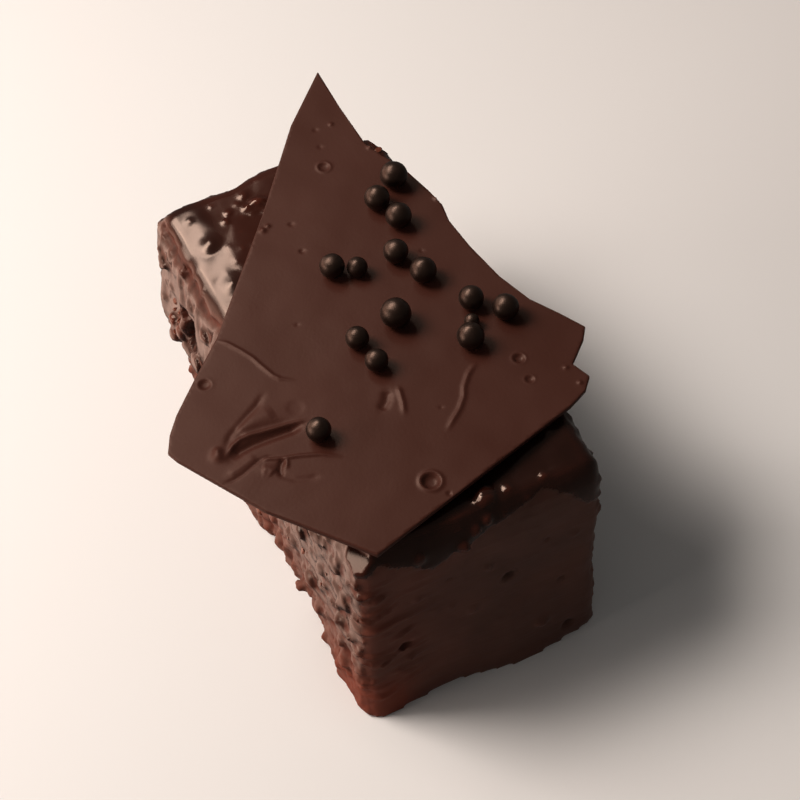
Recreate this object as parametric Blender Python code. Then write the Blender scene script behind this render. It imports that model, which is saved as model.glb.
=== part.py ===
"""Chocolate crunch cake: a glazed bar of cake with nut bits under the glaze,
a broken sheet of chocolate lying on top and a scatter of chocolate pearls.

Frame: metres, +Z up. X runs across the cake, Y along it, and the origin is
the middle of its flat underside.
"""
import math
import random

import bmesh
import bpy
from mathutils import Euler, Matrix, Vector, noise
from mathutils.bvhtree import BVHTree

MM = 0.001

# Cake block, at the foot of its glaze
BASE_WIDTH = 50.0 * MM
BASE_LENGTH = 93.0 * MM
HEIGHT = 48.3 * MM
EDGE_RADII = Vector((3.2, 4.0, 6.0)) * MM   # of the rounded edges, along X, Y and Z
LEAN_SIDES = 0.4 * MM           # how far the long sides lean in at the top
LEAN_NEAR = 2.0 * MM            # and the near end
FAR_BOW = 2.4 * MM              # how far the far end bellies out in the middle
FOOT_HEIGHT = 13.0 * MM         # how high up the foot and the hollows reach
# Glaze that ran out in front: where along X, how wide, how far (mm)
FOOT_POOLS = [(-21.0, 8.0, 1.0), (7.0, 9.0, 1.9), (0.0, 40.0, 1.9)]
# Hollows low down in the long left side: where along Y, how wide, how deep (mm)
HOLLOWS = [(-19.0, 9.0, 1.5), (-5.5, 3.6, 2.6)]
LEDGE_INSET = 3.0 * MM          # undercut at the far left corner
LEDGE_HEIGHT = 15.0 * MM
UNEVEN_BROAD = 0.75 * MM        # slow swell of the glaze
UNEVEN_FINE = 0.40 * MM         # ripples between the nut bits
CELL = 3.3 * MM                 # spacing of the block's grid

# Nut bits under the glaze
BIT_RADIUS = (1.4 * MM, 2.7 * MM)
BIT_SIDES = 6
BIT_RINGS = 4
BIT_SEED = 41

# Broken chocolate sheet
GAP = 0.3 * MM                  # clearance between pieces that touch
SHEET_THICKNESS = 1.1 * MM
SHEET_UNDERSIDE = 50.0 * MM
# Corners of the break, in millimetres, round the sheet from its near corner
SHEET_CORNERS = [
    (-20.9, -44.7), (24.0, -32.1), (28.1, -30.2), (28.7, -29.5), (30.3, -27.8),
    (28.9, -24.0), (33.4, -20.0), (35.2, -17.6), (32.5, -12.7), (29.2, -7.3),
    (26.8, 0.0), (25.3, 9.0), (24.7, 16.4), (25.4, 20.6), (24.7, 25.0),
    (22.8, 33.2), (20.8, 36.9), (19.2, 41.3), (19.0, 52.5), (19.3, 63.4),
    (8.2, 52.4), (-6.3, 34.0), (-19.2, 18.8), (-26.3, 10.5), (-34.0, 3.4),
    (-39.9, -2.3), (-42.7, -5.8), (-44.5, -9.2), (-43.7, -11.4), (-34.2, -28.0),
]

# Chocolate pearls: x, y and radius in millimetres
PEARLS = [
    (19.3, 29.3, 2.7), (14.0, 25.8, 2.5), (15.6, 19.9, 2.55), (11.2, 12.3, 2.4),
    (13.7, 5.9, 2.55), (-1.0, 14.4, 2.4), (3.2, 12.4, 2.0), (4.4, -1.2, 2.9),
    (-4.2, -2.7, 2.2), (-3.3, -8.8, 2.2), (18.6, -3.9, 2.4), (23.2, -8.7, 2.5),
    (14.3, -11.8, 2.6), (16.5, -8.1, 1.45), (-19.3, -18.1, 2.3),
]
PEARL_SEGMENTS = 12
PEARL_RINGS = 7

for old in list(bpy.data.objects):
    bpy.data.objects.remove(old, do_unlink=True)

cake_parts = bpy.data.collections.new("chocolate_crunch_cake")
bit_parts = bpy.data.collections.new("nut_bits")
bpy.context.scene.collection.children.link(cake_parts)
bpy.context.scene.collection.children.link(bit_parts)


def chocolate(name, colour, roughness):
    """A plain Principled material."""
    material = bpy.data.materials.new(name)
    material.use_nodes = True
    shader = material.node_tree.nodes["Principled BSDF"]
    shader.inputs["Base Color"].default_value = (*colour, 1.0)
    shader.inputs["Roughness"].default_value = roughness
    shader.inputs["Metallic"].default_value = 0.0
    return material


def add_object(name, mesh, material, collection):
    obj = bpy.data.objects.new(name, mesh)
    mesh.materials.append(material)
    collection.objects.link(obj)
    return obj


def ease(low, high, value):
    """Smooth step from 0 at low to 1 at high."""
    t = min(max((value - low) / (high - low), 0.0), 1.0)
    return t * t * (3.0 - 2.0 * t)


def cut_places(half, radius):
    """Grid planes from -half to half, closer together on the rounded edges."""
    flat = half - radius
    turn = radius * math.tan(math.pi / 8)
    count = max(1, round(2.0 * flat / CELL))
    places = [-flat + 2.0 * flat * i / count for i in range(count + 1)]
    return [-flat - turn] + places + [flat + turn]


def round_edges(point):
    """Pull a point of the plain box onto its rounded edges and corners."""
    flat_x = BASE_WIDTH / 2 - EDGE_RADII.x
    flat_y = BASE_LENGTH / 2 - EDGE_RADII.y
    core = Vector((
        min(max(point.x, -flat_x), flat_x),
        min(max(point.y, -flat_y), flat_y),
        min(point.z, HEIGHT - EDGE_RADII.z),
    ))
    reach = Vector(r / e for r, e in zip(point - core, EDGE_RADII))
    if reach.length < 1e-6:
        return point
    widest = max(abs(reach.x), abs(reach.y), abs(reach.z))
    return core + reach * EDGE_RADII * (widest / reach.length)


def lean_and_foot(point):
    """The leaning sides, the bellied far end, the foot, hollows and undercut."""
    side_x = point.x / (BASE_WIDTH / 2)
    side_y = point.y / (BASE_LENGTH / 2)
    up = point.z / HEIGHT
    moved = point.copy()
    moved.x -= LEAN_SIDES * up * side_x
    moved.y += LEAN_NEAR * up * max(0.0, -side_y)
    moved.y += FAR_BOW * (1.0 - side_x ** 2) * ease(0.3, 1.0, side_y) * (0.6 + 0.4 * up)
    low = math.exp(-point.z / FOOT_HEIGHT)
    for middle, width, reach in FOOT_POOLS:
        pool = math.exp(-((point.x / MM - middle) / width) ** 2)
        moved.y -= reach * MM * pool * low * ease(0.55, 1.0, -side_y)
    for middle, width, depth in HOLLOWS:
        hollow = math.exp(-((point.y / MM - middle) / width) ** 2)
        moved.x += depth * MM * hollow * low * ease(0.3, 1.0, -side_x)
    under = ease(LEDGE_HEIGHT + 2.5 * MM, LEDGE_HEIGHT - 2.5 * MM, point.z)
    corner = ease(0.25, 0.8, side_y) * ease(0.2, 0.9, -side_x)
    moved.x += LEDGE_INSET * under * corner
    moved.y -= LEDGE_INSET * under * corner * ease(0.7, 1.0, side_y)
    return moved


def swell(point):
    """How far the glaze stands out or in at a place."""
    broad = noise.noise(point / (15.0 * MM) + Vector((3.1, 7.7, 1.9)))
    fine = noise.noise(point / (6.5 * MM) + Vector((9.4, 2.3, 5.8)))
    return UNEVEN_BROAD * broad + UNEVEN_FINE * fine


def make_block():
    """The bar of cake: a gridded box, rounded, tapered and made uneven."""
    bm = bmesh.new()
    bmesh.ops.create_cube(bm, size=1.0)
    for vert in bm.verts:
        vert.co.x *= BASE_WIDTH
        vert.co.y *= BASE_LENGTH
        vert.co.z = (vert.co.z + 0.5) * HEIGHT
    planes = [(Vector((1, 0, 0)), x) for x in cut_places(BASE_WIDTH / 2, EDGE_RADII.x)]
    planes += [(Vector((0, 1, 0)), y) for y in cut_places(BASE_LENGTH / 2, EDGE_RADII.y)]
    straight = HEIGHT - EDGE_RADII.z
    rows = round(straight / CELL)
    turn = EDGE_RADII.z * math.tan(math.pi / 8)
    heights = [straight * i / rows for i in range(1, rows + 1)]
    planes += [(Vector((0, 0, 1)), z) for z in heights + [straight + turn]]
    for normal, place in planes:
        geometry = bm.verts[:] + bm.edges[:] + bm.faces[:]
        bmesh.ops.bisect_plane(bm, geom=geometry, plane_co=normal * place, plane_no=normal)
    bm.verts.ensure_lookup_table()
    underside = [f for f in bm.faces if f.normal.z < -0.5]
    bmesh.ops.dissolve_faces(bm, faces=underside, use_verts=True)
    for vert in bm.verts:
        vert.co = lean_and_foot(round_edges(vert.co))
    bm.normal_update()
    outward = {}
    for vert in bm.verts:
        normal = vert.normal.copy()
        if vert.co.z < 1e-7:
            normal.z = 0.0
        outward[vert] = normal.normalized()
    for vert in bm.verts:
        vert.co += outward[vert] * swell(vert.co)
        vert.co.z = max(vert.co.z, 0.0)
    bmesh.ops.recalc_face_normals(bm, faces=bm.faces)
    mesh = bpy.data.meshes.new("cake")
    bm.to_mesh(mesh)
    bm.free()
    return mesh


def surface_point(tree, start, direction):
    place, normal, _, _ = tree.ray_cast(start, direction)
    return place, normal


def bit_places(rng):
    """Where rays meet each side of the cake: start point, direction, size factor."""
    far = 0.2
    wide = BASE_WIDTH / 2 - 3.5 * MM
    long = BASE_LENGTH / 2 - 4.0 * MM
    low = 5.0 * MM
    high = HEIGHT - 5.0 * MM

    def spread(columns, rows, width_from, width_to, height_from, height_to):
        for i in range(columns):
            for j in range(rows):
                shift = 0.5 * (j % 2)
                a = (i + 0.5 * shift + rng.uniform(0.15, 0.7)) / columns
                b = (j + rng.uniform(0.15, 0.85)) / rows
                yield (width_from + (width_to - width_from) * min(a, 1.0),
                       height_from + (height_to - height_from) * b)

    for y, x in spread(8, 4, -long, long, -wide, wide):
        yield Vector((x, y, far)), Vector((0, 0, -1)), 0.85
    for y, z in spread(9, 4, -long, long, low, high):
        yield Vector((-far, y, z)), Vector((1, 0, 0)), 1.0
    for y, z in spread(9, 4, -long, long, low, high):
        yield Vector((far, y, z)), Vector((-1, 0, 0)), 1.0
    for x, z in spread(3, 2, -wide, wide, low, high):
        yield Vector((x, -far, z)), Vector((0, 1, 0)), 0.7
    for x, z in spread(4, 2, -wide, wide, low, high):
        yield Vector((x, far, z)), Vector((0, -1, 0)), 1.0
    # the cluster on the ledge, near the far end of the left side
    for k in range(5):
        y = (36.0 - 2.6 * k) * MM
        z = (25.0 + 2.2 * math.sin(2.4 * k)) * MM
        yield Vector((-far, y, z)), Vector((1, 0, 0)), 1.15


def make_bits(block):
    """Nut bits, sunk to about their middle in the glaze."""
    rng = random.Random(BIT_SEED)
    tree = BVHTree.FromObject(block, bpy.context.evaluated_depsgraph_get())
    crest_limit = SHEET_UNDERSIDE - GAP
    for start, direction, factor in bit_places(rng):
        place, normal = surface_point(tree, start, direction)
        if place is None:
            continue
        radius = rng.uniform(*BIT_RADIUS) * factor
        length = radius * rng.uniform(0.95, 1.35)
        across = radius * rng.uniform(0.8, 1.05)
        tall = radius * rng.uniform(0.65, 0.85)
        bpy.ops.mesh.primitive_uv_sphere_add(
            segments=BIT_SIDES, ring_count=BIT_RINGS, radius=1.0)
        bit = bpy.context.active_object
        bit.name = "bit"
        centre = place - normal * tall * rng.uniform(0.1, 0.3)
        turn = Euler((0, 0, rng.uniform(0, math.tau))).to_matrix()
        tilt = normal.to_track_quat("Z", "Y").to_matrix()
        size = Matrix.Diagonal((length, across, tall))
        for vert in bit.data.vertices:
            jitter = 1.0 + 0.16 * (rng.random() - 0.5)
            vert.co = centre + tilt @ turn @ size @ (vert.co * jitter)
        crest = max(v.co.z for v in bit.data.vertices)
        under_sheet = direction.z < -0.5
        if under_sheet or crest > crest_limit:
            lift = crest_limit - crest - (0.0 if rng.random() < 0.3 else rng.uniform(0.0, 0.7) * MM)
            lift = max(lift, -1.2 * MM) if crest <= crest_limit else lift
            for vert in bit.data.vertices:
                vert.co.z += min(lift, 0.6 * MM)
        for owner in list(bit.users_collection):
            owner.objects.unlink(bit)
        bit_parts.objects.link(bit)
        bit.hide_render = True
        bit.display_type = "WIRE"


def fuse_bits(block):
    union = block.modifiers.new("Fuse bits", "BOOLEAN")
    union.operation = "UNION"
    union.operand_type = "COLLECTION"
    union.collection = bit_parts
    union.solver = "EXACT"
    bpy.context.view_layer.objects.active = block
    bpy.ops.object.modifier_apply(modifier=union.name)
    for bit in list(bit_parts.objects):
        bpy.data.objects.remove(bit, do_unlink=True)
    bpy.data.collections.remove(bit_parts)


def make_sheet():
    """The broken sheet: its outline as a filled 2D curve, extruded."""
    curve = bpy.data.curves.new("shard", "CURVE")
    curve.dimensions = "2D"
    curve.fill_mode = "BOTH"
    curve.extrude = SHEET_THICKNESS / 2
    spline = curve.splines.new("POLY")
    spline.points.add(len(SHEET_CORNERS) - 1)
    for point, (x, y) in zip(spline.points, SHEET_CORNERS):
        point.co = (x * MM, y * MM, 0.0, 1.0)
    spline.use_cyclic_u = True
    return curve


glaze = chocolate("glaze", (0.045, 0.019, 0.013), 0.22)
dark_sheet = chocolate("sheet_chocolate", (0.062, 0.025, 0.016), 0.45)
pearl_coat = chocolate("pearl_chocolate", (0.016, 0.008, 0.006), 0.40)

cake = add_object("cake", make_block(), glaze, cake_parts)
make_bits(cake)
fuse_bits(cake)
cake.data.shade_smooth()
cake.data.set_sharp_from_angle(angle=math.radians(50))

shard = add_object("shard", make_sheet(), dark_sheet, cake_parts)
shard.location = (0.0, 0.0, SHEET_UNDERSIDE + SHEET_THICKNESS / 2)
weld = shard.modifiers.new("Weld", "WELD")
weld.merge_threshold = 0.01 * MM

sheet_top = SHEET_UNDERSIDE + SHEET_THICKNESS
for number, (x, y, radius) in enumerate(PEARLS, start=1):
    bpy.ops.mesh.primitive_uv_sphere_add(
        segments=PEARL_SEGMENTS, ring_count=PEARL_RINGS, radius=radius * MM)
    pearl = bpy.context.active_object
    pearl.name = f"pearl_{number:02d}"
    pearl.location = (x * MM, y * MM, sheet_top + GAP + radius * MM)
    pearl.data.materials.append(pearl_coat)
    pearl.data.shade_smooth()
    for owner in list(pearl.users_collection):
        owner.objects.unlink(pearl)
    cake_parts.objects.link(pearl)
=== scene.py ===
# %% [markdown]
# # A chocolate crunch cake, one piece at a time
#
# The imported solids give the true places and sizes: a bar of cake, a broken
# sheet of chocolate over it and a scatter of chocolate pearls. Each step below
# builds the fine piece that stands for one of those solids.

import math
import random

import bpy
from mathutils import Matrix, Vector, noise
from mathutils.bvhtree import BVHTree
from mathutils.kdtree import KDTree


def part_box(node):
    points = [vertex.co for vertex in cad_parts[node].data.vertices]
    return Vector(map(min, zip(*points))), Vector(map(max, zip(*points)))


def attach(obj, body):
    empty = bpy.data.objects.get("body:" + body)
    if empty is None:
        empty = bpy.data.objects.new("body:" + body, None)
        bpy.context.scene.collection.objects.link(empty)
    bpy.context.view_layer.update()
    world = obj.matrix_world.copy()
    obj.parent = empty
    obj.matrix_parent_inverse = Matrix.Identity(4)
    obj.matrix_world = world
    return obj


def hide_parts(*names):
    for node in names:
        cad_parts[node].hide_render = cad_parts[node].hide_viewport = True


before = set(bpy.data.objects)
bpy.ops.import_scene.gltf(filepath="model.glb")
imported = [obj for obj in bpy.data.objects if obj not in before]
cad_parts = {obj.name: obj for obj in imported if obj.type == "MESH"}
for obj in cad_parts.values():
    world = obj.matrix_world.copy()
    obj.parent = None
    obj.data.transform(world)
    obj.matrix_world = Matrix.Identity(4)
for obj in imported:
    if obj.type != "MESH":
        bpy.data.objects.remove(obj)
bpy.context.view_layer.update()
MM = 0.001

# %% [markdown]
# ## Helpers for working as by hand
#
# Operators act on whatever is selected, so each step first deselects all and
# then picks what it works on. Modifiers are applied once they have done their
# work, so that every finished piece is a plain mesh in its true place. Places
# in the tables and in the functions that shape the relief are in millimetres,
# x to the right, y to the far end and z up.

# %% Selecting and applying
def select_only(*objects):
    bpy.ops.object.select_all(action="DESELECT")
    for obj in objects:
        obj.select_set(True)
    bpy.context.view_layer.objects.active = objects[0]


def apply_modifiers(piece):
    select_only(piece)
    for modifier in list(piece.modifiers):
        bpy.ops.object.modifier_apply(modifier=modifier.name)


def triangles(piece):
    return sum(len(polygon.vertices) - 2 for polygon in piece.data.polygons)


# %% Measuring by place
def ease(low, high, value):
    """Smooth step from 0 at low to 1 at high."""
    t = min(max((value - low) / (high - low), 0.0), 1.0)
    return t * t * (3.0 - 2.0 * t)


def line_distance(place, points):
    """Distance to a bent line, and how far along it (0 to 1) the nearest place is."""
    best, along = 1e9, 0.0
    spans = len(points) - 1
    for index in range(spans):
        start, end = Vector(points[index]), Vector(points[index + 1])
        run = end - start
        t = min(max((place - start).dot(run) / run.length_squared, 0.0), 1.0)
        distance = (place - (start + run * t)).length
        if distance < best:
            best, along = distance, (index + t) / spans
    return best, along


# %% Painting weights and raising what they cover
LEAST_WEIGHT = 0.002


def paint_weights(piece, name, weight_at):
    """A vertex group whose weights a function gives from place and normal."""
    group = piece.vertex_groups.new(name=name)
    for vertex in piece.data.vertices:
        weight = weight_at(vertex.co / MM, vertex.normal)
        if weight > LEAST_WEIGHT:
            group.add([vertex.index], min(weight, 1.0), "REPLACE")


def raise_by(piece, group, height, texture=None, direction="NORMAL"):
    """A Displace modifier that lifts a painted group by a height in mm."""
    lift = piece.modifiers.new(group, "DISPLACE")
    lift.strength = height * MM
    lift.mid_level = 0.5 if texture else 0.0
    lift.direction = direction
    lift.vertex_group = group
    if texture:
        lift.texture = texture
        lift.texture_coords = "LOCAL"


def cloud_texture(name, size, depth=2):
    """Soft noise whose patches are about size millimetres across."""
    texture = bpy.data.textures.new(name, "CLOUDS")
    texture.noise_scale = size * MM
    texture.noise_depth = depth
    return texture


# %% Copying a solid
WELD_REACH = 0.005 * MM


def merged_copy(node_name, piece_name):
    """A welded copy of a solid's mesh, as a new piece."""
    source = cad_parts[node_name]
    piece = bpy.data.objects.new(piece_name, source.data.copy())
    piece.data.materials.clear()
    bpy.context.scene.collection.objects.link(piece)
    select_only(piece)
    bpy.ops.object.mode_set(mode="EDIT")
    bpy.ops.mesh.select_all(action="SELECT")
    bpy.ops.mesh.remove_doubles(threshold=WELD_REACH)
    bpy.ops.object.mode_set(mode="OBJECT")
    return piece


# %% [markdown]
# ## Chopped nuts
#
# The crunch is chopped hazelnut, stirred into the glaze. A real bit is a lump
# with a few flat breaks. One could be drawn face by face, but an icosphere cut
# by three planes gives the same look in seconds, and four different ones,
# turned and stretched, are enough for a whole cake.

# %% Four bits to copy from
BIT_KINDS = 4
BIT_BREAKS = 3
FIRST_BIT_SEED = 11


def chopped_bit(name, seed):
    rng = random.Random(seed)
    bpy.ops.object.select_all(action="DESELECT")
    bpy.ops.mesh.primitive_ico_sphere_add(subdivisions=2, radius=1.0)
    bit = bpy.context.active_object
    bit.name = name
    bpy.ops.object.mode_set(mode="EDIT")
    for _ in range(BIT_BREAKS):
        facing = Vector((rng.uniform(-1, 1), rng.uniform(-1, 1), rng.uniform(-0.3, 1)))
        facing.normalize()
        bpy.ops.mesh.select_all(action="SELECT")
        bpy.ops.mesh.bisect(
            plane_co=facing * rng.uniform(0.45, 0.75), plane_no=facing,
            use_fill=True, clear_outer=True)
    bpy.ops.mesh.select_all(action="SELECT")
    bpy.ops.mesh.quads_convert_to_tris()
    bpy.ops.mesh.normals_make_consistent(inside=False)
    bpy.ops.object.mode_set(mode="OBJECT")
    return bit


bit_models = [chopped_bit(f"bit_model_{n}", FIRST_BIT_SEED + n) for n in range(BIT_KINDS)]
print("nut bit faces", [len(bit.data.polygons) for bit in bit_models])

# %% [markdown]
# ## The glazed bar
#
# The bar was dipped: the glaze runs over everything, thick in the hollows and
# thin on the crests of the nuts. Sinking bits in the solid's surface, joining
# them and remeshing the lot with small voxels gives one skin that wraps every
# bit, as glaze does. Displacing a smooth box could only fake such lumps.

# %% A copy of the bar, and a seeded scatter
bar = merged_copy("cake", "glazed_bar")
bar_tree = BVHTree.FromObject(bar, bpy.context.evaluated_depsgraph_get())
bar_low, bar_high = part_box("cake")
SHEET_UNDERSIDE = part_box("shard")[0].z
TRIES_PER_POINT = 12


def scatter(rng, count, width, height, nearest):
    """Seeded points in a rectangle, none nearer to another than a distance."""
    kept = []
    for _ in range(count * TRIES_PER_POINT):
        a, b = rng.uniform(*width), rng.uniform(*height)
        if all((a - c) ** 2 + (b - d) ** 2 > nearest ** 2 for c, d in kept):
            kept.append((a, b))
        if len(kept) == count:
            break
    return kept


# %% Where the bits lie
# Bits that show on the top, the far left first: x, y, radius and rise (mm)
TOP_BITS = [
    (-7.4, 38.9, 0.8, 0.55), (-11.5, 39.3, 0.6, 0.5), (-12.9, 37.4, 0.6, 0.5),
    (-9.4, 37.4, 0.4, 0.12), (-7.1, 42.8, 0.7, 0.5), (-19.0, 40.8, 0.5, 0.3),
    (-14.8, 31.4, 0.40, 0.28), (-18.0, 26.1, 0.4, 0.2), (-19.7, 25.8, 0.4, 0.2),
    (-11.2, 33.9, 0.35, 0.1), (-15.0, 27.6, 0.4, 0.25), (-19.2, 35.0, 0.35, 0.15),
    (-16.4, 19.4, 0.35, 0.22), (-9.0, 41.0, 0.5, 0.35), (-13.6, 42.6, 0.5, 0.3),
    (-12.6, 30.0, 0.4, 0.3), (-12.9, -44.4, 1.2, 1.0), (-4.2, -44.8, 1.6, 1.4),
    (-2.0, -44.2, 1.2, 1.1), (0.6, -43.6, 1.3, 1.0), (6.2, -41.0, 0.8, 0.5),
    (13.2, -41.2, 0.8, 0.45), (-9.8, -45.6, 0.9, 0.4), (4.4, -43.9, 0.9, 0.35),
    (9.0, -43.4, 0.8, 0.3), (-19.0, -44.0, 1.0, 0.4), (-6.5, -45.6, 0.9, 0.6),
]
# Bits that show on the left side: y, z, radius and rise (mm)
SIDE_BITS = [
    (-2.4, 4.2, 1.5, 1.2), (-5.2, 3.7, 1.3, 1.0), (-10.0, 1.6, 1.3, 1.0),
    (32.0, 45.6, 1.5, 0.9), (42.2, 42.3, 0.8, 0.8), (41.7, 27.2, 0.8, 0.7),
    (36.5, 26.4, 2.0, 0.9), (32.0, 29.3, 1.8, 0.9), (38.4, 34.0, 1.2, 0.8),
    (-41.5, 45.2, 2.2, 0.5), (-30.5, 13.0, 1.8, 0.8), (-24.0, 9.0, 1.6, 0.8),
    (-15.0, 7.0, 1.6, 0.8), (-36.0, 7.0, 1.6, 0.6),
]
# Two small ones near the far upright edge, placed after all the seeded bits
FAR_BITS = [(39.9, 39.2, 0.75, 0.7), (41.2, 32.5, 0.7, 0.6)]
# A chopped bit is cut at about this share of its radius
CUT_AT = 0.75
# Rays find the bar's skin from outside it: where they start (mm), and their ways
OUTSIDE = 99
DOWN, TO_RIGHT, TO_LEFT, TO_NEAR = (0, 0, -1), (1, 0, 0), (-1, 0, 0), (0, -1, 0)
DOWN_AND_FAR = (0, 0.707, -0.707)


def bit_places():
    """Ray start and direction (mm), radius (mm) and rise as a share of it."""
    rng = random.Random(7)
    for x, y, radius, rise in TOP_BITS:
        yield (x, y, OUTSIDE), DOWN, radius, rise / radius - CUT_AT
    for y, z, radius, rise in SIDE_BITS:
        yield (-OUTSIDE, y, z), TO_RIGHT, radius, rise / radius - CUT_AT
    # Both long sides; the far part of the left one is nearly bare
    for side, looking in ((-1, TO_RIGHT), (1, TO_LEFT)):
        for y, z in scatter(rng, 330, (-44.5, 46), (1.5, 46.5), 2.25):
            radius = rng.uniform(0.85, 1.35) ** 2
            if side < 0 and y > 12.0 and (z > 20.0 or rng.random() < 0.6):
                continue
            yield (OUTSIDE * side, y, z), looking, radius, rng.uniform(-0.5, -0.1)
    # The far end
    for x, z in scatter(rng, 150, (-24, 24), (1.5, 46), 2.5):
        radius = rng.uniform(0.85, 1.3) ** 2
        yield (x, OUTSIDE, z), TO_NEAR, radius, rng.uniform(-0.5, -0.1)
    # The top, apart from its near edge and far left
    for x, y in scatter(rng, 120, (-22, 22), (-42, 46), 3.3):
        if y > -37.0 and (x > -6.0 or y < 12.0):
            yield (x, y, OUTSIDE), DOWN, rng.uniform(0.6, 1.1), rng.uniform(-0.6, -0.3)
    # The near upper edge
    for x, z in scatter(rng, 26, (-22, 23), (41, 48), 2.2):
        radius = rng.uniform(0.8, 1.5)
        yield (x, z - OUTSIDE, OUTSIDE), DOWN_AND_FAR, radius, rng.uniform(-0.6, -0.25)
    for y, z, radius, rise in FAR_BITS:
        yield (-OUTSIDE, y, z), TO_RIGHT, radius, rise / radius - CUT_AT


# %% One bit, put in place
def placed_bit(rng, centre, normal, radius, flat):
    """A copy of one of the bit models, turned, stretched and put in place."""
    model = bit_models[rng.randrange(len(bit_models))]
    mesh = model.data.copy()
    turn = normal.to_track_quat("Z", "Y").to_matrix().to_4x4()
    spin = Matrix.Rotation(rng.uniform(0, math.tau), 4, "Z")
    size = Matrix.Diagonal((radius * rng.uniform(0.9, 1.4), radius * rng.uniform(0.75, 1.0),
                            radius * flat, 1.0))
    mesh.transform(Matrix.Translation(centre) @ turn @ spin @ size)
    bit = bpy.data.objects.new("bit", mesh)
    bpy.context.scene.collection.objects.link(bit)
    return bit


# %% Sink the bits and wrap them in one skin
LUMP_GAP = 0.15 * MM    # the highest lump ends this far under the sheet
VOXEL, QUICK_VOXEL = 0.535 * MM, 0.9 * MM
rng = random.Random(23)
sunk_bits = []
crest_places = []
for start, direction, radius, rise in bit_places():
    hit, normal, _, _ = bar_tree.ray_cast(Vector(start) * MM, Vector(direction))
    if hit is None:
        continue
    centre = hit + normal * radius * rise * MM
    bit = placed_bit(rng, centre, normal, radius * MM, rng.uniform(0.75, 0.95))
    top = max(v.co.z for v in bit.data.vertices)
    if top > SHEET_UNDERSIDE - LUMP_GAP:
        bit.data.transform(Matrix.Translation((0, 0, SHEET_UNDERSIDE - LUMP_GAP - top)))
    sunk_bits.append(bit)
    crest_places.append((hit / MM, radius))
select_only(bar, *sunk_bits)
bpy.ops.object.join()
print("bits under the glaze", len(sunk_bits))

one_skin = bar.modifiers.new("One skin", "REMESH")
one_skin.mode = "VOXEL"
one_skin.voxel_size = VOXEL
soften = bar.modifiers.new("Glaze rounds all off", "SMOOTH")
soften.factor = 0.5
soften.iterations = 2
apply_modifiers(bar)
print("glazed bar triangles", triangles(bar))


# %% [markdown]
# ## Wrinkles, drag marks and the dark hole
#
# Glaze that sets while it runs leaves pits and creases between the nuts and
# small ripples on top. The near end was wiped: it is flatter, with a few open
# pits, and the glaze of the top laps over its upper edge. The spatula left
# drag ridges round the near upright edge. Far left, a narrow crease follows
# the upper edge and a hole stayed open under it. Each is a painted vertex
# group with a Displace modifier, so the relief is real geometry.

# %% The wiped end and its ragged upper edge
# The edge's x and z (mm)
WIPED_EDGE = [(-26.0, 43.0), (-22.7, 44.5), (-20.4, 46.2), (-15.8, 43.7), (-10.6, 40.6),
              (-5.2, 42.9), (1.3, 44.5), (8.2, 46.5), (11.9, 47.6), (15.9, 45.8),
              (21.3, 39.8), (26.0, 37.5)]
# Open pits: x, z, radius (mm) and depth as a share of the deepest
PITS = [(-16.4, 19.3, 1.3, 1.0), (5.2, 26.6, 1.5, 1.0), (16.6, 18.2, 0.8, 0.5),
        (17.8, 3.6, 1.3, 0.8), (-7.0, 33.5, 0.7, 0.35), (13.0, 33.0, 0.7, 0.35)]


def wiped_edge_height(x):
    for (x0, z0), (x1, z1) in zip(WIPED_EDGE, WIPED_EDGE[1:]):
        if x <= x1:
            return z0 + (z1 - z0) * max(x - x0, 0.0) / (x1 - x0)
    return WIPED_EDGE[-1][1]


def wiped(place, normal):
    """1 on the wiped near end, 0 elsewhere."""
    if place.y > -38.0:
        return 0.0
    ragged = 0.8 * noise.noise(place * 0.55) + 0.35 * noise.noise(place * 1.7)
    below = ease(0.35, -0.35, place.z - wiped_edge_height(place.x) + 0.8 - ragged)
    return below * ease(-24.6, -23.2, place.x + 0.8 * ragged) * ease(0.1, 0.55, -normal.y)


def lapped_glaze(place, normal):
    """The top's glaze hangs a little proud over the wiped end."""
    if place.y > -40.0 or normal.y > -0.1:
        return 0.0
    return (1.0 - wiped(place, normal)) * ease(34.0, 40.0, place.z) * ease(-0.1, -0.5, normal.y)


# %% The broad faces
def long_sides(place, normal):
    """Both long sides and the far end; calmer high on the far left."""
    calm = 0.75 * ease(6.0, 16.0, place.y) * ease(0.0, -10.0, place.x) * ease(16.0, 24.0, place.z)
    low = 0.6 + 0.4 * ease(30.0, 12.0, place.z)
    return (1.0 - calm) * low * ease(0.45, 0.9, abs(normal.x)) + 0.7 * ease(0.5, 0.95, normal.y)


def top_face(place, normal):
    return ease(0.5, 0.95, normal.z)


def near_end(place, normal):
    return ease(0.5, 0.95, -normal.y)


# %% Drag ridges and pits of the near end
def drag_ridges(place, normal):
    """Fine ridges that wrap the near left upright edge and fade along the end."""
    reach = ease(-5.0, -22.0, place.x) * ease(-40.0, -44.5, place.y)
    if reach <= 0.0:
        return 0.0
    along = place.x + 25.0
    wander = 2.0 * noise.noise(Vector((place.x * 0.08, 3.0, place.z * 0.16)))
    height = place.z - 0.30 * along + 0.009 * along * along + wander
    ridge = 0.5 + 0.5 * math.sin(height * 2.7 + 1.3 * math.sin(height * 0.83))
    broken = ease(-0.25, 0.35, noise.noise(Vector((place.x * 0.16, 8.0, place.z * 0.35))))
    return reach * ridge ** 2 * broken * ease(3.0, 8.0, place.z) * ease(45.0, 40.0, place.z)


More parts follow.
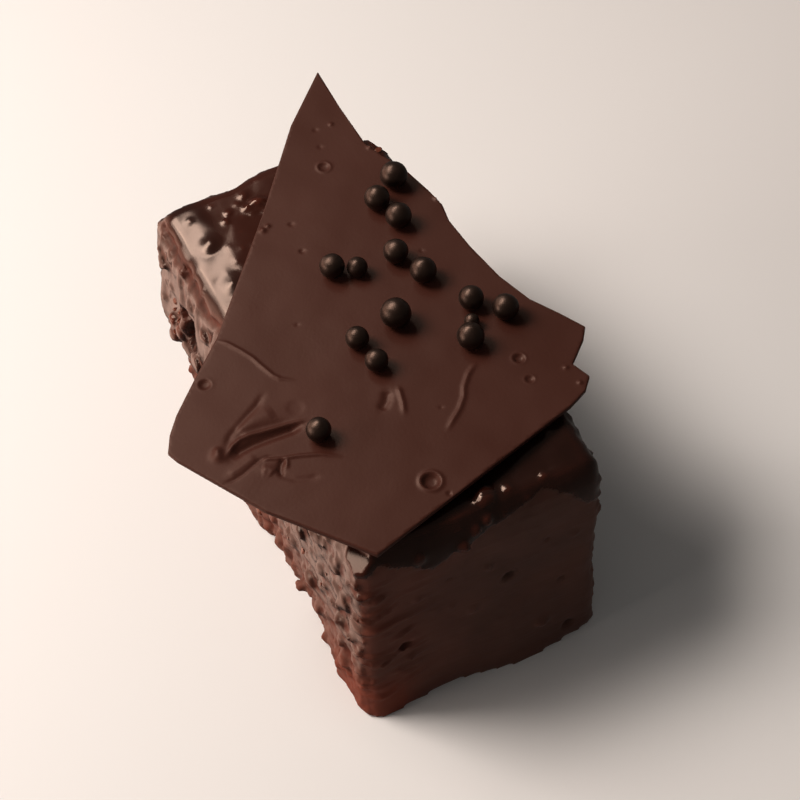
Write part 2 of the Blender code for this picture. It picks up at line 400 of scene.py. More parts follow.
def pits(place, normal):
    """The open pits of the wiped end."""
    if place.y > -40.0 or normal.y > -0.3:
        return 0.0
    deep = 0.0
    for x, z, radius, depth in PITS:
        reach = math.hypot(place.x - x, (place.z - z) * 1.3) / radius
        rim = math.exp(-((reach - 1.5) / 0.35) ** 2)
        deep += depth * (math.exp(-reach ** 2 * 1.6) - 0.35 * rim)
    return max(deep, 0.0)


# %% The far left: its crown and its creased edge
def left_crown(place, normal):
    """The far left of the top falls away a little from a slanting line."""
    beyond = -13.4 - 0.0095 * max(place.y - 24.0, 0.0) ** 2 - place.x
    if beyond <= 0.0:
        return 0.0
    fall = beyond ** 2 / 3.0 if beyond < 1.5 else beyond - 0.75
    return min(0.09 * fall, 1.0) * ease(6.0, 16.0, place.y) * ease(38.0, 44.0, place.z)


# Both lines are given at one height (mm), and lean to the near left going down
CREASE_HEIGHT = 47.5
CREASE_LEAN = Vector((0.261, 0.792))
WANDER_SHIFT = Vector((0.0, 0.0, 60.0))
EDGE_CREASE = [(-23.6, 43.0), (-23.8, 38.9), (-24.1, 34.9), (-24.1, 30.7), (-24.2, 27.4),
               (-24.5, 24.1), (-25.0, 19.6)]
SHORT_CREASE = [(-25.0, 18.6), (-24.2, 16.7), (-23.6, 14.8)]


def edge_crease(place, normal):
    """A narrow crease along the far left upper edge, and a short one after it; the glaze masks
    give both painted shade.
    """
    if place.y < 12.0 or place.x > -18.0 or place.z < 38.0:
        return 0.0
    raised = place.xy - CREASE_LEAN * (CREASE_HEIGHT - place.z)
    raised += 0.25 * Vector((noise.noise(place * 0.5), noise.noise(place * 0.5 + WANDER_SHIFT)))
    long_one, along = line_distance(raised, EDGE_CREASE)
    short_one, _ = line_distance(raised, SHORT_CREASE)
    width = 0.40 + 0.25 * ease(0.0, 0.2, along)
    return max(math.exp(-(long_one / width) ** 2), 0.9 * math.exp(-(short_one / 0.6) ** 2))


# %% The far edge, the runs and the hole under it
def far_edge(place, normal):
    """The far upper edge lies a little further in, left of its middle."""
    if place.y < 36.0:
        return 0.0
    across = math.exp(-((place.x + 8.5) / 6.5) ** 2)
    return across * ease(38.0, 45.0, place.y) * ease(36.0, 45.0, place.z)


def runs(place, normal):
    """Glaze that ran down the far part of the left side."""
    if place.x > -18.0 or place.y < 5.0:
        return 0.0
    ridge = noise.noise(Vector((place.y * 0.38, place.z * 0.05, 2.0)))
    return ease(-0.1, 0.5, ridge) * ease(8.0, 15.0, place.y) * ease(0.5, 0.9, -normal.x)


# Open holes in the far left side: y, z and half sizes (mm)
HOLES = [(28.3, 30.4, 2.7, 4.6), (31.6, 33.4, 1.5, 2.0)]


def dark_hole(place, normal):
    if place.x > -17.0:
        return 0.0
    reach = min(math.hypot((place.y - y) / wide, (place.z - z) / high)
                for y, z, wide, high in HOLES)
    return ease(1.05, 0.6, reach + 0.15 * noise.noise(place * 0.6))


# %% Where the glaze buries a bit
# x and y of three places on the far left of the top (mm)
CALM_SPOTS = [(-17.8, 34.2), (-17.6, 23.2), (-9.9, 32.4)]


def calm_spots(place, normal):
    """Where the glaze on top is thick enough to bury a bit."""
    if place.z < 40.0:
        return 0.0
    return max(ease(3.0, 1.8, math.hypot(place.x - x, place.y - y)) for x, y in CALM_SPOTS)


# %% Bury three bits, then paint and raise the relief
paint_weights(bar, "calm_spots", calm_spots)
buried = bar.modifiers.new("Bury three bits", "SMOOTH")
buried.factor = 0.5
buried.iterations = 80
buried.vertex_group = "calm_spots"
apply_modifiers(bar)
# Where, how high (mm), with which noise and which way
RELIEF = [
    (long_sides, 1.5, cloud_texture("run glaze", 2.6, 2), "NORMAL"),
    (top_face, 0.22, cloud_texture("set ripples", 7.0, 0), "NORMAL"),
    (left_crown, -1.3, None, "Z"),
    (edge_crease, -1.2, None, "NORMAL"),
    (far_edge, -1.1, None, "Y"),
    (runs, 0.7, None, "NORMAL"),
    (near_end, 0.35, cloud_texture("smoothed end", 8.0, 1), "NORMAL"),
    (lapped_glaze, 0.3, None, "NORMAL"),
    (drag_ridges, 0.85, None, "NORMAL"),
    (pits, -1.4, None, "NORMAL"),
    (dark_hole, 4.0, None, "X"),
]
for weight_at, _, _, _ in RELIEF:
    paint_weights(bar, weight_at.__name__, weight_at)
for weight_at, height, texture, direction in RELIEF:
    raise_by(bar, weight_at.__name__, height, texture, direction)
apply_modifiers(bar)
bar.vertex_groups.clear()
print("relief groups", len(RELIEF))

# %% [markdown]
# ## A flat of glaze at the near left corner
#
# Under the sheet's near point the glaze pooled into one smooth leaning flat.
# A sculptor would press it with a flatten brush, which brings every point near
# a leaning plane onto it, less and less towards the rim. The same brush, set
# to lower only, takes the top off a lump that stands out at the far right
# corner and off a hump beside the sheet on the far left.

# %% Press the flats
def press_flat(piece, centre, facing, reach, fill=True):
    """Bring points onto a plane within a reach (mm); without fill, only lower them."""
    centre, facing = Vector(centre), Vector(facing).normalized()
    for vertex in piece.data.vertices:
        away = vertex.co / MM - centre
        share = math.hypot(away.x / reach[0], away.y / reach[1], away.z / reach[2])
        share += 0.25 * noise.noise(vertex.co / MM * 0.6)
        over = away.dot(facing)
        if share < 1.0 and (fill or over > 0.0):
            vertex.co -= facing * over * ease(1.0, 0.7, share) * MM


press_flat(bar, (-23.4, -41.6, 46.1), (-0.44, -0.06, 0.90), (3.0, 5.0, 3.0))
press_flat(bar, (24.4, 44.8, 43.6), (0.77, 0.30, 0.56), (7.0, 9.0, 9.0), fill=False)
press_flat(bar, (-9.0, 33.5, 48.2), (0.02, 0.04, 1.0), (7.5, 5.0, 3.0), fill=False)
print("highest lump of the bar (mm)", round(max(v.co.z for v in bar.data.vertices) / MM, 2))

# %% Keep it inside its solid's reach, clear of the sheet and flat underneath
SHEET_GAP = 0.1 * MM
CRUMB_MARGIN = 0.02 * MM


def keep_in(piece, low, high, margin):
    for vertex in piece.data.vertices:
        for axis in range(3):
            vertex.co[axis] = min(max(vertex.co[axis], low[axis] + margin), high[axis] - margin)


keep_in(bar, bar_low, Vector((bar_high.x, bar_high.y, SHEET_UNDERSIDE - SHEET_GAP)), 0.0)
bar.data.shade_smooth()
bpy.ops.object.select_all(action="DESELECT")
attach(bar, "root")
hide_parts("cake")


# %% [markdown]
# ## Where the glaze is thin or wiped, with painted light and shade
#
# Where the glaze is thin over a nut the brown is warmer and lighter. Painted
# light makes it warmer and lighter too low on the left side, along the lower
# edge at the near left corner and on the left of the wiped end. Painted shade
# makes the hollows, the crease, the pits of the near left side and the far hole
# dark, and red brown in the pits and the crease. The wiped end, the low left
# side and the far crease are duller, and hollows are dry. These follow the
# surface, so they are attributes on the bar's own points. A smoothed copy tells
# crests from creases, and the functions that shaped the relief tell the rest.

# %% Crests and creases
def relief_height(piece):
    """How far (mm) each point stands over a smoothed copy of the piece."""
    copy = piece.copy()
    copy.data = piece.data.copy()
    bpy.context.scene.collection.objects.link(copy)
    calm = copy.modifiers.new("Calm", "SMOOTH")
    calm.factor = 0.5
    calm.iterations = 24
    apply_modifiers(copy)
    heights = [(rough.co - even.co).dot(even.normal) / MM
               for rough, even in zip(piece.data.vertices, copy.data.vertices)]
    bpy.data.objects.remove(copy, do_unlink=True)
    return heights


# %% Thin glaze, painted light, dullness and painted shade at one point
FAR_LEDGE = Vector((-25.0, 35.5, 27.0))    # bare nuts under the far crease (mm)


def mask_values(place, normal, height, over_nut):
    """How much thin glaze and painted light, how dull and how much painted shade in hollows a
    point gets, each 0 to 1.
    """
    # Regions of the bar
    end = wiped(place, normal)
    left = ease(-14.0, -23.0, place.x) * (1.0 - end)
    low = ease(26.0, 3.0, place.z)
    near = ease(8.0, -2.0, place.y)
    corner = (ease(14.0, 1.0, place.z) * ease(-12.0, -24.0, place.x)
              * ease(-30.0, -46.0, place.y))
    far_ledge = ease(5.0, 1.5, (place - FAR_LEDGE).length)
    far_top = (ease(4.0, 16.0, place.y) * ease(40.0, 45.0, place.z)
               * ease(-19.0, -12.0, place.x))
    smooth_run = ease(8.0, 15.0, place.y) * ease(-14.0, -20.0, place.x)
    # What the relief does there
    crest = ease(0.0, 0.30, height)
    creased = edge_crease(place, normal) ** 0.65
    pitted = left * ease(-0.03, -0.22, height) * (0.5 + 0.5 * near)
    patch = 0.5 + 0.5 * noise.noise(place * 0.16)
    fleck = 0.5 + 0.5 * noise.noise(place * 0.7)

    thin_and_lit = (0.10 * over_nut + 0.30 * crest) * patch * (1.0 - end)
    thin_and_lit += 0.14 * far_top
    # Painted light: the low left side is painted warmer and lighter, as if lit from the left
    thin_and_lit += 0.65 * left * low * (0.20 + 0.8 * fleck) * (0.5 + 0.5 * crest)
    # Painted light: the near left lower corner is painted orange, as light shining through the
    # glaze; the far ledge's bare nuts are their own colour
    thin_and_lit += 1.5 * corner * (0.5 + 0.8 * fleck) + 0.5 * far_ledge * crest
    # In the crease and the pits this also turns the painted shade below red brown
    thin_and_lit += 0.35 * creased
    thin_and_lit += 0.8 * pitted
    # Painted reflection: the left of the wiped end is painted lighter, as the lit floor shining in
    # it
    thin_and_lit += 0.45 * end * ease(4.0, -24.0, place.x) * (0.6 + 0.8 * patch)
    dull = max(end, 0.9 * left * low, 0.8 * creased)
    # Painted shade: creases, pits, the far crease and the hole are painted dark
    crease = 0.75 * ease(-0.04, -0.30, height) * (1.0 - end) * (1.0 - 0.8 * smooth_run)
    painted_hollow_shade = max(crease, 0.9 * pitted * near, 0.95 * creased, dark_hole(place, normal),
                 0.9 * pits(place, normal))
    return min(thin_and_lit, 1.0), dull, painted_hollow_shade


# %% Paint the three masks
def paint_masks(piece):
    crests = KDTree(len(crest_places))
    for index, (place, _) in enumerate(crest_places):
        crests.insert(place, index)
    crests.balance()
    rows = []
    for vertex, height in zip(piece.data.vertices, relief_height(piece)):
        place = vertex.co / MM
        _, index, distance = crests.find(place)
        over_nut = ease(1.2, 0.4, distance / max(crest_places[index][1], 0.6))
        rows.append(mask_values(place, vertex.normal, height, over_nut))
    for name, values in zip(("thin_glaze_and_painted_light", "wiped_end", "painted_hollow_shade"), zip(*rows)):
        piece.data.attributes.new(name, "FLOAT", "POINT").data.foreach_set("value", values)
        print(name, "mean", round(sum(values) / len(values), 3))


paint_masks(bar)

# %% [markdown]
# ## Bare crumbs
#
# A few bits broke through or stuck to the glaze afterwards. They keep their
# sharp breaks, so they stay apart from the skin as one piece of many small
# closed lumps, each half sunk where it sits.

# %% Crumbs on the sides, the far end and the top
CRUMB_GAP = 0.05 * MM    # a crumb that comes nearer to the sheet is left out
crumb_tree = BVHTree.FromObject(bar, bpy.context.evaluated_depsgraph_get())


def crumb_places():
    """Ray start and direction (mm)."""
    rng = random.Random(91)
    for y, z in scatter(rng, 26, (-44, 20), (2, 30), 3.0):
        yield (-OUTSIDE, y, z), TO_RIGHT
    for y, z in scatter(rng, 9, (32.5, 38.5), (23, 31), 1.3):
        yield (-OUTSIDE, y, z), TO_RIGHT
    for y, z in scatter(rng, 26, (-44, 45), (2, 40), 3.0):
        yield (OUTSIDE, y, z), TO_LEFT
    for x, y in scatter(rng, 22, (-22, 22), (-44, 45), 4.0):
        if y > -36.0 and (x > -4.0 or y < 12.0):
            yield (x, y, OUTSIDE), DOWN
    for x, z in scatter(rng, 12, (-20, 20), (3, 44), 3.0):
        yield (x, OUTSIDE, z), TO_NEAR


rng = random.Random(57)
crumb_parts = []
for start, direction in crumb_places():
    hit, normal, _, _ = crumb_tree.ray_cast(Vector(start) * MM, Vector(direction))
    if hit is None:
        continue
    radius = rng.uniform(0.35, 0.95) * MM
    bit = placed_bit(rng, hit + normal * radius * rng.uniform(-0.3, 0.05), normal, radius, 0.8)
    top = max(v.co.z for v in bit.data.vertices)
    if top > SHEET_UNDERSIDE - CRUMB_GAP:
        bpy.data.objects.remove(bit, do_unlink=True)
        continue
    crumb_parts.append(bit)
select_only(*crumb_parts)
bpy.ops.object.join()
crumbs = bpy.context.active_object
crumbs.name = "nut_crumbs"
crumbs.data.materials.clear()
for model in bit_models:
    bpy.data.objects.remove(model, do_unlink=True)
keep_in(crumbs, bar_low, bar_high, CRUMB_MARGIN)
select_only(crumbs)
bpy.ops.object.shade_smooth_by_angle(angle=math.radians(35))
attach(crumbs, "root")
print("crumbs", len(crumb_parts), "triangles", triangles(crumbs))

# %% [markdown]
# ## The broken sheet
#
# Melted chocolate was spread thin on film, left to set and snapped. It is flat
# with crisp breaks, and its skin keeps every crease and bubble of the film.
# The solid's outline is already right, so a welded copy is cut into a fine
# grid in edit mode and the relief is painted and pressed into its upper skin.

# %% Cut the sheet into a grid
GRID = 1.0 * MM
WORN_WIDTH = 0.24 * MM
sheet = merged_copy("shard", "chocolate_sheet")
sheet_low, sheet_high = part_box("shard")
select_only(sheet)
bpy.ops.object.mode_set(mode="EDIT")
bpy.ops.mesh.select_all(action="SELECT")
bpy.ops.mesh.dissolve_limited(angle_limit=math.radians(1.0))
bpy.ops.object.mode_set(mode="OBJECT")
worn = sheet.modifiers.new("Worn break", "BEVEL")
worn.width = WORN_WIDTH
worn.segments = 2
worn.limit_method = "ANGLE"
worn.angle_limit = math.radians(60)
apply_modifiers(sheet)

bpy.ops.object.mode_set(mode="EDIT")
for across in (Vector((1, 0, 0)), Vector((0, 1, 0))):
    start, end = sheet_low.dot(across), sheet_high.dot(across)
    for step in range(1, math.ceil((end - start) / GRID)):
        bpy.ops.mesh.select_all(action="SELECT")
        bpy.ops.mesh.bisect(plane_co=across * (start + step * GRID), plane_no=across)
bpy.ops.mesh.select_all(action="SELECT")
bpy.ops.mesh.quads_convert_to_tris(quad_method="BEAUTY", ngon_method="BEAUTY")
bpy.ops.mesh.tris_convert_to_quads()
bpy.ops.object.mode_set(mode="OBJECT")
finer = sheet.modifiers.new("Finer grid", "SUBSURF")
finer.subdivision_type = "SIMPLE"
finer.levels = 1
finer.render_levels = 1
apply_modifiers(sheet)
print("sheet triangles", triangles(sheet))


# %% [markdown]
# ## Creases, bubbles and dents in the sheet
#
# The film under the chocolate was creased: that printed one deep fold with a
# bright lip, some fine lines, a few round bubbles with raised rims and small
# dimples. A fold is a distance to a bent line, and a bubble is a distance to
# a point, so each mark is a short function of place.

# %% Where the marks lie
# Ridges (height over 0) and valleys (under 0): bent line, half width, height in mm
LINES = [
    ([(-26.4, 9.4), (-25.2, 8.0), (-23.8, 5.6), (-22.6, 3.2), (-21.7, 0.2), (-20.9, -2.1),
      (-20.1, -3.4), (-18.2, -4.6)], 0.34, 0.22),
    ([(-35.0, -12.8), (-33.2, -10.9), (-31.0, -9.5), (-28.7, -8.2), (-26.3, -6.9),
      (-24.1, -5.1)], 0.60, -0.22),
    ([(-35.7, -14.6), (-33.8, -13.1), (-31.9, -12.4), (-29.7, -12.4), (-27.6, -12.7),
      (-25.5, -12.9), (-23.3, -13.1), (-21.2, -13.4), (-19.8, -13.7)], 0.34, 0.36),
    ([(-33.1, -11.7), (-30.5, -11.2), (-27.8, -11.5), (-24.7, -12.0), (-21.5, -12.4)], 0.6, -0.14),
    ([(-35.0, -15.3), (-32.9, -14.4), (-30.4, -14.1), (-27.9, -14.1), (-25.4, -14.2),
      (-22.7, -14.3), (-20.7, -14.2)], 0.90, -0.85),
    ([(-38.2, -19.6), (-36.5, -19.7), (-34.6, -19.3), (-32.7, -18.6), (-30.9, -17.9),
      (-29.1, -17.9), (-27.2, -18.8)], 0.30, -0.17),
    ([(-30.3, -18.0), (-29.3, -18.4), (-27.1, -19.4), (-24.4, -20.1), (-20.6, -21.6),
      (-17.8, -23.6)], 0.30, 0.30),
    ([(-27.0, -19.6), (-27.9, -20.5), (-28.5, -21.6), (-28.6, -22.8)], 0.45, -0.40),
    ([(-28.6, -22.6), (-26.9, -24.4), (-24.8, -25.3), (-22.6, -25.6)], 0.60, -0.12),
    ([(-26.4, -20.0), (-27.2, -21.6)], 0.28, 0.26),
    ([(-4.0, -14.6), (-5.0, -16.2), (-6.8, -17.8)], 0.80, -0.34),
    ([(-1.9, -14.8), (-2.2, -16.1), (-2.6, -17.9), (-3.5, -20.4)], 0.45, 0.26),
    ([(12.9, -16.2), (10.7, -17.7), (8.8, -19.8), (7.7, -21.8), (5.8, -23.8), (3.4, -25.6),
      (1.8, -26.8)], 0.45, 0.26),
    ([(-31.8, -11.0), (-28.0, -9.8), (-24.0, -9.6)], 1.50, 0.28),
    ([(-37.0, -18.5), (-33.5, -17.6), (-31.0, -16.8)], 0.70, 0.16),
    ([(-31.2, -20.0), (-30.1, -20.6), (-29.6, -21.6)], 1.00, 0.30),
]
# Bubbles: x, y, radius, depth and rim height (mm)
BUBBLES = [
    (-5.9, -35.3, 1.5, 0.62, 0.26), (20.7, -18.6, 0.95, 0.42, 0.08),
    (20.2, -23.6, 0.75, 0.26, 0.06), (-32.7, 1.5, 1.0, 0.36, 0.05),
    (9.2, 39.4, 1.0, 0.24, 0.14), (-3.7, 22.0, 0.5, 0.18, 0.0), (-2.7, 29.0, 0.5, 0.15, 0.0),
    (11.9, 49.0, 0.5, 0.10, 0.0), (10.8, 44.5, 0.5, 0.10, 0.0), (-20.3, -10.4, 1.5, 0.10, 0.0),
    (-4.2, -39.0, 0.45, 0.20, 0.0), (16.5, 12.0, 0.4, 0.10, 0.0), (-12.0, 6.5, 0.35, 0.08, 0.0),
    (3.0, -22.0, 0.35, 0.08, 0.0),
]
# Small lumps standing on the skin: x, y, radius and height (mm)
NIBS = [
    (-37.0, -14.0, 1.3, 0.62), (-36.6, -12.9, 0.9, 0.40), (-8.2, 29.9, 0.7, 0.45),
    (-6.9, 30.5, 0.5, 0.35), (19.5, 40.0, 0.6, 0.40), (25.2, 22.4, 0.7, 0.50),
    (27.3, -24.3, 0.5, 0.30), (27.9, -28.4, 0.5, 0.30), (15.3, 49.0, 0.5, 0.25),
]
print("marks", len(LINES) + len(BUBBLES) + len(NIBS))

# %% The marks as functions of place
LINE_REACH = 24.0        # no line strays further than this from its start (mm)
SKIN_TOLERANCE = 0.03    # how far under the top still counts as the skin (mm)
LEAST_MARK = 0.008       # lower marks need no finer grid (mm)


def mark_height(flat):
    """Height (mm) of the marks over the plain skin at a place."""
    total = 0.0
    for points, width, height in LINES:
        if (flat - Vector(points[0])).length > LINE_REACH:
            continue
        distance, along = line_distance(flat, points)
        if distance < 2.6 * width:
            fade = min(1.0, 6.0 * along + 0.25) * min(1.0, 5.0 * (1.0 - along) + 0.15)
            total += height * fade * math.exp(-(distance / width) ** 2)
    for x, y, radius, depth, rim in BUBBLES:
        reach = (flat - Vector((x, y))).length / radius
        if reach < 2.5:
            total += rim * math.exp(-((reach - 1.25) / 0.30) ** 2) - depth * math.exp(-reach ** 4)
    for x, y, radius, height in NIBS:
        total += height * math.exp(-((flat - Vector((x, y))).length / radius) ** 2 * 1.6)
    return total


def skin(place, normal):
    return 1.0 if place.z > sheet_high.z / MM - SKIN_TOLERANCE else 0.0


def ridges(place, normal):
    return skin(place, normal) and mark_height(place.xy)


def valleys(place, normal):
    return skin(place, normal) and -mark_height(place.xy)


# %% A finer grid round the marks
marked = [bool(skin(v.co / MM, None)) and abs(mark_height(v.co.xy / MM)) > LEAST_MARK
          for v in sheet.data.vertices]
bpy.ops.object.mode_set(mode="EDIT")
bpy.ops.mesh.select_mode(type="FACE")
bpy.ops.mesh.select_all(action="DESELECT")
bpy.ops.object.mode_set(mode="OBJECT")
for polygon in sheet.data.polygons:
    polygon.select = any(marked[index] for index in polygon.vertices)
bpy.ops.object.mode_set(mode="EDIT")
bpy.ops.mesh.subdivide(number_cuts=1)
bpy.ops.object.mode_set(mode="OBJECT")
print("sheet triangles round the marks", triangles(sheet))

# %% Press the marks into the upper skin
for weight_at in (ridges, valleys, skin):
    paint_weights(sheet, weight_at.__name__, weight_at)
raise_by(sheet, "ridges", 1.0, direction="Z")
raise_by(sheet, "valleys", -1.0, direction="Z")
raise_by(sheet, "skin", 0.20, cloud_texture("slow swell", 9.0, 1), direction="Z")
apply_modifiers(sheet)
sheet.vertex_groups.clear()
select_only(sheet)
bpy.ops.object.shade_smooth_by_angle(angle=math.radians(50))
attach(sheet, "root")
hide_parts("shard")
print("highest mark of the sheet (mm)", round(max(v.co.z for v in sheet.data.vertices) / MM, 2))

# %% [markdown]
# ## The pearls
#
# Crisp pearls are puffed grain rolled in chocolate in a turning pan, so they
# are nearly round with a slightly orange-peel skin. One is modelled fine and
# copied for every solid pearl, each turned another way and at its own size.

# %% One pearl
bpy.ops.object.select_all(action="DESELECT")
bpy.ops.mesh.primitive_uv_sphere_add(segments=40, ring_count=24, radius=1.0)
pearl_model = bpy.context.active_object
pearl_model.name = "pearl_model"
uneven = pearl_model.modifiers.new("Rolled unevenly", "DISPLACE")
uneven.texture = cloud_texture("rolled", 900.0, 1)
uneven.texture_coords = "LOCAL"
uneven.strength = 0.07
uneven.mid_level = 0.5
apply_modifiers(pearl_model)
print("pearl faces", len(pearl_model.data.polygons))

# %% All of them, each on the sheet's skin
PEARL_SINK = 0.03 * MM
PEARL_SHARE = 0.99    # of the solid pearl's radius, as the skin is uneven
rng = random.Random(5)
pearls = []
sheet_tree = BVHTree.FromObject(sheet, bpy.context.evaluated_depsgraph_get())
for name in sorted(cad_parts):
    if not name.startswith("pearl_"):
        continue
    low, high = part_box(name)
    radius = (high.z - low.z) / 2
    centre = (low + high) / 2
    turn = Matrix.Rotation(rng.uniform(0, math.tau), 4, Vector(
        (rng.uniform(-1, 1), rng.uniform(-1, 1), rng.uniform(-1, 1))).normalized())
    mesh = pearl_model.data.copy()
    mesh.transform(turn @ Matrix.Scale(radius * PEARL_SHARE, 4))
    skin_under, _, _, _ = sheet_tree.ray_cast(
        Vector((centre.x, centre.y, 1.0)), Vector(DOWN))
    rest = skin_under.z - min(v.co.z for v in mesh.vertices) - PEARL_SINK
    mesh.transform(Matrix.Translation((centre.x, centre.y, rest)))
    pearl = bpy.data.objects.new("fine_" + name, mesh)
    bpy.context.scene.collection.objects.link(pearl)
    mesh.shade_smooth()
    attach(pearl, "root")
    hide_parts(name)
    pearls.append(pearl)
bpy.data.objects.remove(pearl_model, do_unlink=True)
print("pearls", len(pearls))


# %% [markdown]
# ## One effect for all the chocolate
#
# Chocolate is never one flat brown: fat and sugar leave a soft mottle and the
# skin has a fine grain. All four finishes use it, so it is a node group that
# gives a colour, a roughness mask and a height, built once.

# %% The mottle group
SOCKETS = [
    ("Dark", "INPUT", "NodeSocketColor"), ("Light", "INPUT", "NodeSocketColor"),
    ("Patch scale", "INPUT", "NodeSocketFloat"), ("Grain scale", "INPUT", "NodeSocketFloat"),
    ("Colour", "OUTPUT", "NodeSocketColor"), ("Patch", "OUTPUT", "NodeSocketFloat"),
    ("Grain", "OUTPUT", "NodeSocketFloat"),
]


def mottle_group():
    group = bpy.data.node_groups.new("chocolate_mottle", "ShaderNodeTree")
    for name, way, kind in SOCKETS:
        group.interface.new_socket(name, in_out=way, socket_type=kind)
    nodes, links = group.nodes, group.links
    inputs = nodes.new("NodeGroupInput")
    outputs = nodes.new("NodeGroupOutput")
    place = nodes.new("ShaderNodeTexCoord")
    patch = nodes.new("ShaderNodeTexNoise")
    patch.inputs["Detail"].default_value = 3.0
    grain = nodes.new("ShaderNodeTexNoise")
    grain.inputs["Detail"].default_value = 4.0
    mix = nodes.new("ShaderNodeMix")
    mix.data_type = "RGBA"
    links.new(place.outputs["Object"], patch.inputs["Vector"])
    links.new(place.outputs["Object"], grain.inputs["Vector"])
    links.new(inputs.outputs["Patch scale"], patch.inputs["Scale"])
    links.new(inputs.outputs["Grain scale"], grain.inputs["Scale"])
    links.new(patch.outputs["Fac"], mix.inputs["Factor"])
    links.new(inputs.outputs["Dark"], mix.inputs["A"])
    links.new(inputs.outputs["Light"], mix.inputs["B"])
    links.new(mix.outputs["Result"], outputs.inputs["Colour"])
    links.new(patch.outputs["Fac"], outputs.inputs["Patch"])
    links.new(grain.outputs["Fac"], outputs.inputs["Grain"])
    return group


mottle = mottle_group()


# %% Helpers for materials
def srgb(red, green, blue):
    """A colour given in 8-bit screen values, as the linear values nodes need."""
    def linear(value):
        value /= 255.0
        return value / 12.92 if value <= 0.04045 else ((value + 0.055) / 1.055) ** 2.4
    return (linear(red), linear(green), linear(blue), 1.0)


WARM_SHEEN = (1.0, 0.80, 0.70, 1.0)
WARMER_SHEEN = (1.0, 0.70, 0.57, 1.0)


def start_material(name, dark, light, patch_scale, grain_scale, gloss, sheen=WARM_SHEEN):
    """A material with the mottle feeding its base colour."""
    material = bpy.data.materials.new(name)
    material.use_nodes = True
    shader = material.node_tree.nodes["Principled BSDF"]
    effect = material.node_tree.nodes.new("ShaderNodeGroup")
    effect.node_tree = mottle
    effect.inputs["Dark"].default_value = dark
    effect.inputs["Light"].default_value = light
    effect.inputs["Patch scale"].default_value = patch_scale
    effect.inputs["Grain scale"].default_value = grain_scale
    material.node_tree.links.new(effect.outputs["Colour"], shader.inputs["Base Color"])
    shader.inputs["Specular IOR Level"].default_value = gloss
    shader.inputs["Specular Tint"].default_value = sheen
    return material, shader, effect


def ranged(material, source, low, high):
    """A value spread from low to high by a noise, whose values keep near the middle."""
    spread = material.node_tree.nodes.new("ShaderNodeMapRange")
    spread.inputs["From Min"].default_value = 0.3
    spread.inputs["From Max"].default_value = 0.7
    spread.inputs["To Min"].default_value = low
    spread.inputs["To Max"].default_value = high
    material.node_tree.links.new(source, spread.inputs["Value"])
    return spread.outputs["Result"]


def bumped(material, shader, height, distance, strength=1.0):
    """Tilt the shader's normal by a height map, whose full height is given in mm."""
    bump = material.node_tree.nodes.new("ShaderNodeBump")
    bump.inputs["Distance"].default_value = distance * MM
    bump.inputs["Strength"].default_value = strength
    material.node_tree.links.new(height, bump.inputs["Height"])
    material.node_tree.links.new(bump.outputs["Normal"], shader.inputs["Normal"])


def even_finish(name, dark, light, scales, gloss, sheen, roughness, bump):
    """Mottled colour, roughness by patches and a fine grain, all over alike."""
    material, shader, effect = start_material(name, dark, light, *scales, gloss, sheen)
    rough = ranged(material, effect.outputs["Patch"], *roughness)
    material.node_tree.links.new(rough, shader.inputs["Roughness"])
    bumped(material, shader, effect.outputs["Grain"], *bump)
    return material


# %% [markdown]
# ## The glaze
#
# Dark and wet: a brown body under a clear gloss, warmer and lighter where the
# glaze is thin and where light is painted in. The near end was wiped smooth, so
# its gloss is duller there and long faint strokes run across it; its brown is
# lighter, partly with painted reflection. Painted shade gives a hollow the dark
# body colour, or a deep red brown where thin glaze and painted light are set too.

# %% Glaze colours and roughness
# The brown of thin glaze and painted light, and the red brown of painted shade in hollows
THIN_AND_LIT_BROWN, SHADED_RED_BROWN = srgb(100, 45, 31), srgb(70, 27, 18)
GLOSSY_ROUGHNESS = (0.12, 0.26)
HOLLOW_ROUGHNESS = 0.60
WIPED_ROUGHNESS, DRY_ROUGHNESS = 0.56, 0.85
glaze, shader, effect = start_material(
    "dark_glaze", srgb(25, 13, 10), srgb(38, 18, 14), 90.0, 900.0, 0.40)
nodes, links = glaze.node_tree.nodes, glaze.node_tree.links


def mask(name):
    reader = nodes.new("ShaderNodeAttribute")
    reader.attribute_name = name
    return reader.outputs["Fac"]


def blend(factor, under, over, kind="RGBA"):
    """One layer laid over another by a mask; the upper one is a value or a socket."""
    mix = nodes.new("ShaderNodeMix")
    mix.data_type = kind
    links.new(factor, mix.inputs["Factor"])
    links.new(under, mix.inputs["A"])
    if isinstance(over, bpy.types.NodeSocket):
        links.new(over, mix.inputs["B"])
    else:
        mix.inputs["B"].default_value = over
    return mix.outputs["Result"]


# The wiped end's own duller brown, made lighter with painted reflection of the floor in front
wiped_brown_with_painted_reflection = nodes.new("ShaderNodeMix")
wiped_brown_with_painted_reflection.data_type = "RGBA"
wiped_brown_with_painted_reflection.inputs["A"].default_value = srgb(62, 36, 29)
wiped_brown_with_painted_reflection.inputs["B"].default_value = srgb(90, 54, 44)
links.new(effect.outputs["Patch"], wiped_brown_with_painted_reflection.inputs["Factor"])
colour = blend(mask("wiped_end"), effect.outputs["Colour"], wiped_brown_with_painted_reflection.outputs["Result"])
# Thin glaze and painted light: warmer and lighter brown
colour = blend(mask("thin_glaze_and_painted_light"), colour, THIN_AND_LIT_BROWN)
